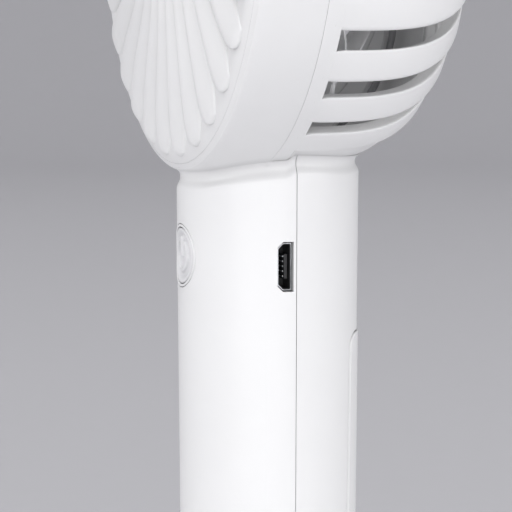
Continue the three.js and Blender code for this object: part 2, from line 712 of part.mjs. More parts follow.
function circleShape(radius, sides) {
  const points = [];
  for (let i = 0; i < sides; i++) {
    const angle = Math.PI * 2 * i / sides;
    points.push(new THREE.Vector2(radius * Math.cos(angle), radius * Math.sin(angle)));
  }
  return new THREE.Shape(points);
}

function sweep(radius, curve, steps) {
  const options = { steps, bevelEnabled: false, extrudePath: curve };
  return solid(new THREE.ExtrudeGeometry(circleShape(radius, 8), options));
}

function negativeSpring() {
  return toMesh('negative_spring', sweep(0.4, new SpringCurve(), 28), steel);
}

function lead(name, material, route, steps) {
  const curve = new THREE.CatmullRomCurve3(route.map(([x, y, z]) => new THREE.Vector3(x, y, z)));
  return toMesh(name, sweep(WIRE_R, curve, steps), material);
}

// Route of a motor lead: up through the neck, round inside the dome and into the motor's cup.
function motorLeadRoute(side) {
  const up = HEAD_Z;
  const x = side * 1.2;
  return [
    [side * 3, -2.5, 104.5], [side * 2.4, 0, 107], [x, 5, 108.6], [x, 9.2, 110], [x, 10.2, 113.5],
    [x, 10.5, 117.2], [x, 11.8, 119.8], [x, 15, up - 37.6], [x, 18, up - 33.4], [x, 21, up - 27],
    [x, 21.9, up - 20], [side * 1.4, 22.8, up - 14], [side * 3.4, 23.3, up - 8.6],
    [side * 5.4, 23.8, up - 4.5],
  ];
}

const positiveLeadRoute = [
  [-5.2, -2.8, 79.5], [-5.4, -2, 81.5], [-5.6, -1.2, 84.5], [-5.2, -1.8, 87.5], [-4.6, -2.5, 90.5],
];

const negativeLeadRoute = [
  [4.9, -8.6, 9.6], [5.2, -9, 13], [5.4, -9.4, 20], [5.4, -9.4, 45], [5.4, -9.4, 70], [5.4, -8.8, 80],
  [5.2, -7, 87], [4.8, -5.3, 90],
];

// ---------------------------------------------------------------- assembly

const fan = new THREE.Group();

const casing = new THREE.Group();
casing.add(frontShell(), rearShell(), baseCap(), batteryDoor());
fan.add(casing);

const head = new THREE.Group();
head.position.set(0, 0, HEAD_Z);
head.add(rearGuard(), motorCover(), frontGrille(), centreCap());
head.add(impeller(), motorShaft(), motorArmature(), motorCan(), motorEndCap());
head.add(motorTerminal(1, -1), motorTerminal(2, 1));
for (const [index, x] of [[1, -MOTOR_SCREW_X], [2, MOTOR_SCREW_X]]) {
  const motorScrew = screw(`motor_screw_${index}`, 1.6, 0.9, 0.8, 3.6, 1);
  motorScrew.position.set(x, 4.4, 0);
  head.add(motorScrew);
}
fan.add(head);

const electronics = new THREE.Group();
electronics.add(powerButton(), buttonRing(), switchBody(), switchPlunger(), circuitBoard(), chargeChip());
electronics.add(chargeLed(), socketShell(), socketTongue());
BOARD_SCREWS.forEach(([x, z], i) => {
  const boardScrew = screw(`board_screw_${i + 1}`, 1.6, 0.9, 0.5, 5, -1);
  boardScrew.position.set(x, -2, z);
  electronics.add(boardScrew);
});
fan.add(electronics);

const power = new THREE.Group();
power.add(batteryCell(), batteryPositiveCap(), positiveContact(), negativePlate(), negativeSpring());
power.add(lead('battery_lead_red', redWire, positiveLeadRoute, 8));
power.add(lead('battery_lead_black', blackWire, negativeLeadRoute, 12));
power.add(lead('motor_lead_white', whiteWire, motorLeadRoute(-1), 15));
power.add(lead('motor_lead_grey', greyWire, motorLeadRoute(1), 15));
fan.add(power);

SHELL_SCREWS_Z.forEach((z, i) => {
  const shellScrew = screw(`shell_screw_${i + 1}`, 1.9, 1.1, 1, 14, -1);
  shellScrew.position.set(0, 11.6, z);
  fan.add(shellScrew);
});

export default fan;
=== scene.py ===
import json
import math

import bmesh
import bpy
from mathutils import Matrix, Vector


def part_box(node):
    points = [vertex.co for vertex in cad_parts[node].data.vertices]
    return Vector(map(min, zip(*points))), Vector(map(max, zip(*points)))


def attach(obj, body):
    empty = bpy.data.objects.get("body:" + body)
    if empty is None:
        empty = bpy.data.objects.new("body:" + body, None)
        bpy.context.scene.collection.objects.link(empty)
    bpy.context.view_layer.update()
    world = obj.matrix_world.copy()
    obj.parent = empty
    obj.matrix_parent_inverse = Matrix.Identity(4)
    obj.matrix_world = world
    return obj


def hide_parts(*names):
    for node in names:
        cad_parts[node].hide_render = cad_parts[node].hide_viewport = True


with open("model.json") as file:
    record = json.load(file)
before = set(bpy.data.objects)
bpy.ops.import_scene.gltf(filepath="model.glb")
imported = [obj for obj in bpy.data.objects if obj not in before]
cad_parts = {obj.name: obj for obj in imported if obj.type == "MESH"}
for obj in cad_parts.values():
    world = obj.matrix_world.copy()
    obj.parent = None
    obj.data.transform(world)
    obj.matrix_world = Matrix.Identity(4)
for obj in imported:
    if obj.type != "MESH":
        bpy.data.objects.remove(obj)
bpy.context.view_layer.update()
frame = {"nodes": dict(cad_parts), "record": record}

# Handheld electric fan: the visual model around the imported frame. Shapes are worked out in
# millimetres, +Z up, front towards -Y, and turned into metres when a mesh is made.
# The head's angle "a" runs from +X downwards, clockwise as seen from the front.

MM = 0.001


def low(node):
    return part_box(node)[0] / MM


def high(node):
    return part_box(node)[1] / MM


# ------------------------------------------------------------------ dimensions

HEAD_Z = (low("rear_guard").z + high("rear_guard").z) / 2
FULL_R = (high("rear_guard").x - low("rear_guard").x) / 2
HANDLE_LENGTH = HEAD_Z - FULL_R
BAR_PROUD = 0.15
BAR_SUNK = 0.3
HEAD_R = FULL_R - BAR_PROUD
RIB_RISE = 3
FRONT_Y = low("front_grille").y + RIB_RISE
SEAM_Y = -4.5
SEAM_HALF = 0.05

# The handle, from its foot to the neck under the head.
HANDLE_BASE_R = 14
HANDLE_TOP_R = 15
FOOT_ROUND = 1.5
SHELL_WALL = 1.6
STRAIGHT_TOP = 105
SHOULDER = 1.6
NECK_STRIP = 1.4
NECK_COVE = 0.9
NECK_R = 14.4
SEAT_R = high("base_cap").x + 0.3

# The rear guard: a dome of superellipse section, cut into bars.
DOME_START_Y = -1.8
DOME_DEPTH = 29.3
DOME_Y_POWER = 2 / 3.5
DOME_R_POWER = 2 / 2.7
GUARD_WALL = 2.5
SLOTS = 26
SLOT_HALF_ANGLE = 1.9
END_BAR_ANGLE = 27
BAR_PITCH = (360 - 2 * END_BAR_ANGLE) / SLOTS
BAR_HALF_ANGLE = BAR_PITCH / 2 - SLOT_HALF_ANGLE
SECTOR_RECESS = 0.7
SECTOR_RAMP = 1.4
REAR_DISC_R = 19

# The front grille's ribs, and the rim that they end on.
RIBS = 30
RIB_TIP_A = 11.2
RIB_TIP_R = 44.2
RIB_TAPER_R = 40.4
RIB_NOSE = 1.5
RIB_ROOT_R = 9
RIB_SWIRL = 20
RIB_CREST_Y = low("front_grille").y
RIB_BACK_Y = -15
RIM_INNER_R = 39.8
RIM_R = 45.3

# The head's front ring: a slope to a fine crease, a bend, a straight band, and its inner lip.
SLOPE_START_R = 43.2
CREASE_R = 46.05
CREASE_Y = -15.2
BAND_START_Y = -12.4
RING_INNER_R = 45.2
RING_BACK_Y = -11.2
RING_LIP_R = 43.6
RING_LIP_Y = -12.6

BUTTON_Z = (low("power_button").z + high("power_button").z) / 2
BUTTON_R = 4.5
BUTTON_HOLE_R = 5.25
SOCKET_Y = (low("usb_socket_shell").y + high("usb_socket_shell").y) / 2
SOCKET_Z = (low("usb_socket_shell").z + high("usb_socket_shell").z) / 2
SOCKET_WIDTH = 2.6
SOCKET_HEIGHT = 8
SOCKET_SHELL_WIDTH = 2.35
SOCKET_SHELL_HEIGHT = 7.6
SOCKET_CORNER_R = 0.25
SOCKET_MOUTH_X = high("usb_socket_shell").x + 0.6

# The battery door, and what holds the cell and the screws behind it.
DOOR_HALF_WIDTH = high("battery_door").x
DOOR_BOTTOM_Z = low("battery_door").z
DOOR_TOP_Z = high("battery_door").z
DOOR_CORNER_R = 2.4
DOOR_PROUD = 0.22
DOOR_THICK = 1.3
DOOR_GAP = 0.25
LAND_DEPTH = 1.6
BAY_HALF_WIDTH = 9.4
BULKHEADS_Z = [(7, 8.2), (79.2, 80.8)]
SHELL_SCREWS_Z = [4.6, 83]
BOARD_SCREWS = [(-7.8, 90.5), (7.8, 104.5)]
HOOKS_Z = [22, 62]
HOOK_HEIGHT = 5


# ------------------------------------------------------------------ mesh building

def steps(start, end, count):
    return [start + (end - start) * i / count for i in range(count + 1)]


def lerp(a, b, t):
    return a + (b - a) * t


def smoothstep(edge0, edge1, x):
    t = min(1, max(0, (x - edge0) / (edge1 - edge0)))
    return t * t * (3 - 2 * t)


class Solid:
    """Points in millimetres and faces, gathered from several closed forms into one piece."""

    def __init__(self):
        self.points = []
        self.faces = []

    def add(self, points, faces):
        start = len(self.points)
        self.points += points
        self.faces += [[start + i for i in face] for face in faces]

    def make(self, name, sharp=38):
        mesh = bpy.data.meshes.new(name)
        mesh.from_pydata([Vector(p) * MM for p in self.points], [], self.faces)
        bm = bmesh.new()
        bm.from_mesh(mesh)
        bmesh.ops.remove_doubles(bm, verts=bm.verts, dist=1e-7)
        bmesh.ops.dissolve_degenerate(bm, dist=1e-8, edges=bm.edges)
        bmesh.ops.recalc_face_normals(bm, faces=bm.faces)
        bm.to_mesh(mesh)
        bm.free()
        mesh.polygons.foreach_set("use_smooth", [True] * len(mesh.polygons))
        mesh.set_sharp_from_angle(angle=math.radians(sharp))
        piece = bpy.data.objects.new(name, mesh)
        bpy.context.scene.collection.objects.link(piece)
        return piece


class Sheet:
    """Faces between points that are given by a surface's own two coordinates."""

    def __init__(self):
        self.places = {}
        self.faces = []

    def at(self, u, v):
        return self.places.setdefault((round(u, 5), round(v, 5)), len(self.places))

    def grid(self, us, vs, skip=()):
        for i in range(len(us) - 1):
            for j in range(len(vs) - 1):
                inside = any(i0 <= i < i1 and j0 <= j < j1 for i0, i1, j0, j1 in skip)
                if not inside:
                    corners = [(us[i], vs[j]), (us[i + 1], vs[j]),
                               (us[i + 1], vs[j + 1]), (us[i], vs[j + 1])]
                    self.faces.append([self.at(*c) for c in corners])

    def band(self, near, far):
        """Faces between two closed loops with as many points."""
        for i in range(len(near)):
            k = (i + 1) % len(near)
            self.faces.append([self.at(*c) for c in (near[i], near[k], far[k], far[i])])

    def around(self, border, outline, rings):
        """Rings of faces between a closed border and an outline with as many points."""
        loops = []
        for k in range(rings + 1):
            t = (k / rings) ** 0.9
            loops.append([(lerp(b[0], o[0], t), lerp(b[1], o[1], t)) for b, o in zip(border, outline)])
        for near, far in zip(loops, loops[1:]):
            self.band(near, far)

    def shell(self, outer, inner):
        """Points and faces of a closed shell between two placements of this sheet."""
        places = list(self.places)
        count = len(places)
        points = [outer(*p) for p in places] + [inner(*p) for p in places]
        faces = list(self.faces)
        faces += [[count + i for i in reversed(face)] for face in self.faces]
        edges = {}
        for face in self.faces:
            for a, b in zip(face, face[1:] + face[:1]):
                edges[(a, b)] = True
        for a, b in edges:
            if (b, a) not in edges:
                faces.append([b, a, count + a, count + b])
        return points, faces


def apply_modifiers(piece):
    graph = bpy.context.evaluated_depsgraph_get()
    mesh = bpy.data.meshes.new_from_object(piece.evaluated_get(graph))
    piece.modifiers.clear()
    piece.data = mesh


def soften(piece, width, segments=2, angle=50):
    """Rounds the piece's sharp edges by a small width and evens out its shading."""
    bevel = piece.modifiers.new("edges", "BEVEL")
    bevel.width = width * MM
    bevel.segments = segments
    bevel.limit_method = "ANGLE"
    bevel.angle_limit = math.radians(angle)
    bevel.loop_slide = False
    weighted = piece.modifiers.new("normals", "WEIGHTED_NORMAL")
    weighted.keep_sharp = True
    apply_modifiers(piece)
    return piece


def rounded(corners, segments=5):
    """A closed outline through corners (x, y, radius), each rounded by its radius."""
    outline = []
    for i, (x, y, radius) in enumerate(corners):
        here = Vector((x, y))
        before = Vector(corners[i - 1][:2]) - here
        after = Vector(corners[(i + 1) % len(corners)][:2]) - here
        if radius == 0:
            outline.append((x, y))
            continue
        half = before.angle(after) / 2
        reach = min(radius / math.tan(half), before.length * 0.48, after.length * 0.48)
        start = here + before.normalized() * reach
        end = here + after.normalized() * reach
        for t in steps(0, 1, segments):
            point = start * (1 - t) ** 2 + here * 2 * t * (1 - t) + end * t * t
            outline.append((point.x, point.y))
    return outline


def turned(profile, segments, place):
    """A closed profile of (radius, distance along the axis) turned about an axis."""
    points = []
    for k in range(segments):
        angle = 2 * math.pi * k / segments
        points += [place(r, angle, along) for r, along in profile]
    count = len(profile)
    faces = []
    for k in range(segments):
        ring, following = k * count, (k + 1) % segments * count
        for i in range(count):
            n = (i + 1) % count
            faces.append([ring + i, ring + n, following + n, following + i])
    return points, faces


def on_head(r, angle, y):
    return (r * math.cos(angle), y, HEAD_Z - r * math.sin(angle))


def on_handle_axis(r, angle, z):
    return (r * math.cos(angle), r * math.sin(angle), z)


def swept(sections):
    """A closed form through sections with the same number of points, closed at both ends."""
    count = len(sections[0])
    points = [p for section in sections for p in section]
    faces = []
    for k in range(len(sections) - 1):
        for i in range(count):
            n = (i + 1) % count
            faces.append([k * count + i, k * count + n, (k + 1) * count + n, (k + 1) * count + i])
    last = (len(sections) - 1) * count
    faces.append(list(range(count)))
    faces.append([last + i for i in reversed(range(count))])
    return points, faces


# ------------------------------------------------------------------ handle

def handle_radius(z):
    return lerp(HANDLE_BASE_R, HANDLE_TOP_R, z / HANDLE_LENGTH)


def dome(s):
    """The guard's outside at a parameter from 0 at its front edge to 1 at its pole."""
    angle = s * math.pi / 2
    y = DOME_START_Y + DOME_DEPTH * math.sin(angle) ** DOME_Y_POWER
    return HEAD_R * max(0, math.cos(angle)) ** DOME_R_POWER, y


def head_radius(y):
    """Radius of the head's outside: the ring's bend, its straight band, then the guard's dome."""
    if y < BAND_START_Y:
        share = min(1, (BAND_START_Y - y) / (BAND_START_Y - CREASE_Y))
        return CREASE_R + (HEAD_R - CREASE_R) * math.sqrt(1 - share * share)
    if y <= DOME_START_Y:
        return HEAD_R
    sine = ((y - DOME_START_Y) / DOME_DEPTH) ** (1 / DOME_Y_POWER)
    return HEAD_R * math.sqrt(1 - sine * sine) ** DOME_R_POWER


def dome_y(r, inset=0):
    cosine = (r / (HEAD_R - inset)) ** (1 / DOME_R_POWER)
    sine = math.sqrt(1 - cosine * cosine)
    return DOME_START_Y + (DOME_DEPTH - inset) * sine ** DOME_Y_POWER


def under_head(x, y, clearance):
    """Height of the head's underside, lowered by a clearance, above a point of the handle."""
    recess = SECTOR_RECESS * smoothstep(DOME_START_Y, DOME_START_Y + SECTOR_RAMP, y)
    r = head_radius(y) - recess + clearance
    return HEAD_Z - math.sqrt(r * r - x * x)


# A row of the handle's surface is numbered by v: the floor and the foot's round below FOOT_ROUND, the
# height in millimetres up to STRAIGHT_TOP, then the shoulder, the neck and its cove.

FLOOR_V = -FOOT_ROUND - 1
LIP_V = STRAIGHT_TOP + 5
NECK_V = LIP_V + 3


def neck_top(x, y):
    """The neck runs into the front ring, and stops just short of the rear guard."""
    return under_head(x, y, -0.12 if y < SEAM_Y - 0.05 else 0.04)


def handle_section(degrees, v, side):
    """Radius and height of the handle's outside: floor, foot, grip, shoulder, neck and its cove.
    Side is -1 on the front half and 1 on the rear half."""
    turn = math.radians(degrees)
    if v <= -FOOT_ROUND:
        return lerp(SEAT_R, HANDLE_BASE_R - FOOT_ROUND, v - FLOOR_V), 0
    if v < FOOT_ROUND:
        arc = math.pi / 4 * (v / FOOT_ROUND - 1)
        reach = HANDLE_BASE_R - FOOT_ROUND + FOOT_ROUND * math.cos(arc)
        return reach, FOOT_ROUND + FOOT_ROUND * math.sin(arc)
    if v <= STRAIGHT_TOP:
        return handle_radius(v), v
    x = HANDLE_TOP_R * math.sin(turn)
    y = side * HANDLE_TOP_R * math.cos(turn)
    top = under_head(x, y, NECK_STRIP)
    if v <= LIP_V:
        z = lerp(STRAIGHT_TOP, top - SHOULDER, (v - STRAIGHT_TOP) / (LIP_V - STRAIGHT_TOP))
        return handle_radius(z), z
    if v <= LIP_V + 1:
        rise = v - LIP_V
        z = top - SHOULDER * (1 - rise)
        return lerp(handle_radius(z), NECK_R, smoothstep(0, 1, rise)), z
    arc = math.pi / 2 * (v - LIP_V - 2)
    r = NECK_R + NECK_COVE * (1 - math.cos(arc))
    z = neck_top(r * math.sin(turn), side * r * math.cos(turn))
    return r, z - NECK_COVE * (1 - math.sin(arc))


def around_handle(degrees, r, z, side):
    turn = math.radians(degrees)
    return (r * math.sin(turn), side * r * math.cos(turn), z)


def handle_outside(side):
    def place(degrees, v):
        return around_handle(degrees, *handle_section(degrees, v, side), side)
    return place


def handle_inside(side):
    def place(degrees, v):
        r, z = handle_section(degrees, v, side)
        narrowing = (HANDLE_TOP_R - NECK_R) * smoothstep(STRAIGHT_TOP, LIP_V, v)
        wall = handle_radius(z) - SHELL_WALL - narrowing
        return around_handle(degrees, min(r, wall), max(z, SHELL_WALL), side)
    return place


HANDLE_EDGE = 90 - math.degrees(SEAM_HALF / HANDLE_TOP_R)
GRIP_ROWS = 30
FOOT_ROWS = [FLOOR_V] + steps(-FOOT_ROUND, FOOT_ROUND, 6)
TOP_ROWS = steps(STRAIGHT_TOP, LIP_V, 4)[1:] + steps(LIP_V, LIP_V + 1, 6)[1:] + steps(LIP_V + 2, NECK_V, 6)


def border_of(us, vs, i0, i1, j0, j1):
    """The closed loop of grid points round a block of cells."""
    loop = [(us[i], vs[j0]) for i in range(i0, i1)]
    loop += [(us[i1], vs[j]) for j in range(j0, j1)]
    loop += [(us[i], vs[j1]) for i in range(i1, i0, -1)]
    loop += [(us[i0], vs[j]) for j in range(j1, j0, -1)]
    return loop


def button_outline(border):
    outline = []
    for degrees, z in border:
        across = handle_radius(z) * math.sin(math.radians(degrees))
        angle = math.atan2(z - BUTTON_Z, across)
        edge_z = BUTTON_Z + BUTTON_HOLE_R * math.sin(angle)
        edge_x = BUTTON_HOLE_R * math.cos(angle)
        outline.append((math.degrees(math.asin(edge_x / handle_radius(edge_z))), edge_z))
    return outline


def socket_corners(width, height):
    """Corners in (y, z), chamfered towards the front."""
    w, h = width / 2, height / 2
    cut = height * 0.11
    return [(-w, -h + cut), (-w + cut, -h), (w, -h), (w, h), (-w + cut, h), (-w, h - cut)]


def socket_outline(border):
    """The cut-out's edge, with a point on each of its corners."""
    corners = socket_corners(SOCKET_WIDTH, SOCKET_HEIGHT)
    us = [u for u, v in border]
    vs = [v for u, v in border]
    outline = []
    for u, v in border:
        p = 2 * (u - min(us)) / (max(us) - min(us)) - 1
        q = 2 * (v - min(vs)) / (max(vs) - min(vs)) - 1
        y, z = p * SOCKET_WIDTH / 2, q * SOCKET_HEIGHT / 2
        excess = -y + abs(z) - (-corners[1][0] + SOCKET_HEIGHT / 2)
        if excess > 0:
            y += excess / 2
            z -= math.copysign(excess / 2, z)
        outline.append((y, z))
    for corner in corners:
        nearest = min(range(len(outline)), key=lambda i: math.dist(outline[i], corner))
        outline[nearest] = corner
    placed = []
    for y, z in outline:
        r = handle_radius(SOCKET_Z + z)
        placed.append((math.degrees(math.acos(-(SOCKET_Y + y) / r)), SOCKET_Z + z))
    return placed


def front_slope(r):
    """Depth of the head's front rim: flat inside, sloping back to a fine crease."""
    share = max(0, (r - SLOPE_START_R) / (CREASE_R - SLOPE_START_R))
    return FRONT_Y + (CREASE_Y - FRONT_Y) * share ** 1.5


def head_ring():
    inner = RIM_R + 0.03
    slope = [(r, front_slope(r), 0) for r in steps(inner, CREASE_R, 4)]
    reach, depth = HEAD_R - CREASE_R, BAND_START_Y - CREASE_Y
    bend = [(CREASE_R + reach * math.sin(t), BAND_START_Y - depth * math.cos(t), 0)
            for t in steps(0, math.pi / 2, 14)[1:]]
    corners = [(HEAD_R, SEAM_Y, 0.06), (RING_INNER_R, SEAM_Y, 0), (RING_INNER_R, RING_BACK_Y, 0),
               (RING_LIP_R, RING_BACK_Y, 0), (RING_LIP_R, RING_LIP_Y, 0), (inner, RING_LIP_Y, 0)]
    return turned(rounded(corners + slope + bend, 3), 256, on_head)


def boss(x, z, y0, y1, r, hole_r):
    """A screw boss along Y."""
    def place(reach, angle, y):
        return (x + reach * math.cos(angle), y, z + reach * math.sin(angle))
    return turned([(hole_r, y0), (r, y0), (r, y1), (hole_r, y1)], 32, place)


def bulkhead(z0, z1):
    """A wall across the rear half of the handle, at an end of the cell's bay."""
    r = handle_radius(z0) - SHELL_WALL + 0.3
    outline = [(r * math.cos(t), 0.15 + r * math.sin(t) * 0.985) for t in steps(0, math.pi, 32)]
    return swept([[(x, y, z) for x, y in outline] for z in (z0, z1)])


# Columns and rows of the front half's surface: finer patches round the button and the socket.
PATCH_HALF_HEIGHT = 6.8
PATCH_ROWS = 20
SIDE_COLUMNS = 18
BUTTON_PATCH_ANGLE = 27
BUTTON_COLUMNS = 20
BESIDE_SOCKET_ANGLES = (71.5, 71.8)
SOCKET_PATCH_ANGLES = (75, 88.6)
SOCKET_COLUMNS = 8
SOCKET_ROWS = 15


def front_shell():
    """Front half of the handle with the button's hole, the socket's cut-out and the head's ring."""
    patch_z = steps(BUTTON_Z - PATCH_HALF_HEIGHT, BUTTON_Z + PATCH_HALF_HEIGHT, PATCH_ROWS)
    us = steps(-HANDLE_EDGE, -BUTTON_PATCH_ANGLE, SIDE_COLUMNS)
    us += steps(-BUTTON_PATCH_ANGLE, BUTTON_PATCH_ANGLE, BUTTON_COLUMNS)[1:]
    us += steps(BUTTON_PATCH_ANGLE, BESIDE_SOCKET_ANGLES[0], 13)[1:] + [BESIDE_SOCKET_ANGLES[1]]
    socket_column = len(us)
    us += steps(*SOCKET_PATCH_ANGLES, SOCKET_COLUMNS) + [HANDLE_EDGE]
    vs = FOOT_ROWS + steps(FOOT_ROUND, patch_z[0], GRIP_ROWS)[1:] + patch_z[1:] + TOP_ROWS
    patch_row = len(FOOT_ROWS) + GRIP_ROWS - 1
    button = (SIDE_COLUMNS, SIDE_COLUMNS + BUTTON_COLUMNS, patch_row, patch_row + PATCH_ROWS)
    socket = (socket_column, socket_column + SOCKET_COLUMNS, patch_row, patch_row + SOCKET_ROWS)
    sheet = Sheet()
    sheet.grid(us, vs, skip=[button, socket])
    border = border_of(us, vs, *button)
    sheet.around(border, button_outline(border), 5)
    border = border_of(us, vs, *socket)
    sheet.around(border, socket_outline(border), 3)
    solid = Solid()
    solid.add(*sheet.shell(handle_outside(-1), handle_inside(-1)))
    piece = soften(solid.make("front_shell_fine"), 0.1)
    inside = Solid()
    inside.add(*head_ring())
    for z in SHELL_SCREWS_Z:
        inside.add(*boss(0, z, -12.8, -0.15, 2.3, 1.3))
    for x, z in BOARD_SCREWS:
        inside.add(*boss(x, z, -10.4, -4.8, 1.8, 0.85))
    return join(piece, inside.make("ring_and_bosses"))


def join(piece, *others):
    """Puts other objects' meshes into the piece's own."""
    with bpy.context.temp_override(active_object=piece, selected_editable_objects=[piece, *others]):
        bpy.ops.object.join()
    return piece


def into_disc(p, q):
    """A point of the square from -1 to 1 moved to the disc that it holds."""
    return p * math.sqrt(1 - q * q / 2), q * math.sqrt(1 - p * p / 2)


def door_outline_point(p, z, half_width, top, corner):
    """Across and height on the door's plan, with its two upper corners rounded."""
    x = p * half_width
    beyond_x = (abs(x) - (half_width - corner)) / corner
    beyond_z = (z - (top - corner)) / corner
    if beyond_x <= 0 or beyond_z <= 0:
        return x, z
    dx, dz = into_disc(min(1, beyond_x), min(1, beyond_z))
    return math.copysign(half_width - corner + corner * dx, x), top - corner + corner * dz


def rear_place(on_handle, grow):
    """Places (p, v) on the rear half: |p| up to 1 spans the door's opening, up to 2 the rest."""
    half_width, top, corner = DOOR_HALF_WIDTH + grow, DOOR_TOP_Z + grow, DOOR_CORNER_R + grow

    def place(p, v):
        x, z = half_width * max(-1, min(1, p)), v
        if abs(p) <= 1 and FOOT_ROUND < v <= top + 1e-6:
            x, z = door_outline_point(p, v, half_width, top, corner)
        level = min(STRAIGHT_TOP, max(0, z))
        degrees = math.degrees(math.asin(x / handle_radius(level)))
        if abs(p) > 1:
            degrees = math.copysign(lerp(abs(degrees), HANDLE_EDGE, abs(p) - 1), p)
        return on_handle(degrees, z)
    return place


def rear_shell():
    """Rear half of the handle round the battery door's opening, with the land and the bay behind it."""
    grow = DOOR_GAP
    top = DOOR_TOP_Z + grow
    corner_z = top - DOOR_CORNER_R - grow
    beside, across = 14, 24
    ps = steps(-2, -1, beside) + steps(-1, 1, across)[1:] + steps(1, 2, beside)[1:]
    vs = FOOT_ROWS + steps(FOOT_ROUND, corner_z, 26)[1:] + steps(corner_z, top, 6)[1:]
    door_row = len(vs) - 1
    vs += steps(top, STRAIGHT_TOP, 8)[1:] + TOP_ROWS
    sheet = Sheet()
    sheet.grid(ps, vs, skip=[(beside, beside + across, 0, door_row)])
    solid = Solid()
    solid.add(*sheet.shell(rear_place(handle_outside(1), grow), rear_place(handle_inside(1), grow)))
    piece = soften(solid.make("rear_shell_fine"), 0.12)
    inside = Solid()
    inside.add(*door_land())
    for z in SHELL_SCREWS_Z:
        inside.add(*boss(0, z, 0.15, 12, 2.6, 1.3))
    for z0, z1 in BULKHEADS_Z:
        inside.add(*bulkhead(z0, z1))
    return join(piece, inside.make("land_bosses_bulkheads"))


def door_land():
    """The recessed wall behind the door, with the bay's opening through it."""
    x_reach = DOOR_HALF_WIDTH + 1.2
    bay_z0, bay_z1 = BULKHEADS_Z[0][1], BULKHEADS_Z[1][0]
    columns, rows = 16, 20
    xs = [-x_reach] + steps(-BAY_HALF_WIDTH, BAY_HALF_WIDTH, columns) + [x_reach]
    zs = [0.4] + steps(FOOT_ROUND, bay_z0, 4)
    bay_row = len(zs) - 1
    zs += steps(bay_z0, bay_z1, rows)[1:] + steps(bay_z1, DOOR_TOP_Z + 1.2, 5)[1:]
    sheet = Sheet()
    sheet.grid(xs, zs, skip=[(1, 1 + columns, bay_row, bay_row + rows)])

    def at_depth(depth):
        def place(x, z):
            r = handle_radius(z) - depth
            return (x, math.sqrt(r * r - x * x), z)
        return place
    return sheet.shell(at_depth(LAND_DEPTH), at_depth(LAND_DEPTH + 0.9))


def battery_door():
    """Slide-off door: a curved panel with rounded upper corners, and four hooks behind it."""
    corner_z = DOOR_TOP_Z - DOOR_CORNER_R
    zs = steps(DOOR_BOTTOM_Z, corner_z, 40) + steps(corner_z, DOOR_TOP_Z, 6)[1:]
    sheet = Sheet()
    sheet.grid(steps(-1, 1, 28), zs)

    def place(offset):
        def at(p, v):
            x, z = door_outline_point(p, v, DOOR_HALF_WIDTH, DOOR_TOP_Z, DOOR_CORNER_R)
            r = handle_radius(z) + offset
            return (x, math.sqrt(r * r - x * x), z)
        return at
    solid = Solid()
    solid.add(*sheet.shell(place(DOOR_PROUD), place(-DOOR_THICK)))
    piece = soften(solid.make("battery_door_fine"), 0.16, segments=3)
    hooks = Solid()
    outline = [(8.3, 6.6), (9.8, 6.6), (9.8, 7.4), (9.1, 7.4), (9.1, 10.6), (8.3, 10.6)]
    for z in HOOKS_Z:
        for side in (-1, 1):
            ends = (z, z + HOOK_HEIGHT)
            hooks.add(*swept([[(side * x, y, level) for x, y in outline] for level in ends]))
    return join(piece, hooks.make("hooks"))


# ------------------------------------------------------------------ button and socket

def button_face(x, z, offset):
    r = handle_radius(z) + offset
    return (x, -math.sqrt(r * r - x * x), z)


def power_symbol(x, z):
    """Height share of a generic power symbol: an open circle with an upright bar."""
    stroke, ring_r = 0.27, 2.35
    z -= BUTTON_Z
    distance = abs(math.hypot(x, z) - ring_r)
    if z > 0 and abs(x) < 1.1:
        distance = 9
    to_bar = math.hypot(x, max(0, -z, z - 2.9))
    return smoothstep(stroke + 0.16, stroke - 0.08, min(distance, to_bar))


def power_button():
    """Round key that follows the handle's surface, a little dished, with a raised power symbol."""
    sheet = Sheet()
    sheet.grid(steps(-1, 1, 96), steps(-1, 1, 96))

    def place(offset, dished):
        def at(p, q):
            across, up = into_disc(p, q)
            x, z = BUTTON_R * across, BUTTON_Z + BUTTON_R * up
            reach = math.hypot(across, up)
            depth = -0.45 * (1 - smoothstep(0.72, 0.93, reach)) if dished else 0
            edge = -0.12 * smoothstep(0.95, 1, reach)
            return button_face(x, z, offset + depth + edge + (0.42 * power_symbol(x, z) if dished else 0))
        return at
    solid = Solid()
    solid.add(*sheet.shell(place(0.05, True), place(-2.6, False)))
    return solid.make("power_button_fine")


def button_ring():
    """Thin trim ring between the button and the shell."""
    sheet = Sheet()
    inner_r, outer_r, sides = 4.72, 5.12, 96
    loops = []
    for r in steps(inner_r, outer_r, 4):
        loops.append([(r * math.cos(2 * math.pi * k / sides), r * math.sin(2 * math.pi * k / sides))
                      for k in range(sides)])
    for near, far in zip(loops, loops[1:]):
        sheet.band(near, far)

    def place(offset, crown):
        def at(x, up):
            across = (math.hypot(x, up) - inner_r) / (outer_r - inner_r)
            rise = crown * math.sqrt(max(0, 1 - (2 * across - 1) ** 2))
            return button_face(x, BUTTON_Z + up, offset + rise)
        return at
    solid = Solid()
    solid.add(*sheet.shell(place(0.02, 0.12), place(-1.6, 0)))
    return solid.make("button_ring_fine")


def socket_loop(inset, x):
    """The socket's outline at a depth, moved inwards from the metal shell's outside."""
    corners = socket_corners(SOCKET_SHELL_WIDTH - 2 * inset, SOCKET_SHELL_HEIGHT - 2 * inset)
    outline = rounded([(y, z, SOCKET_CORNER_R) for y, z in corners], 3)
    return [(x, SOCKET_Y + y, SOCKET_Z + z) for y, z in outline]


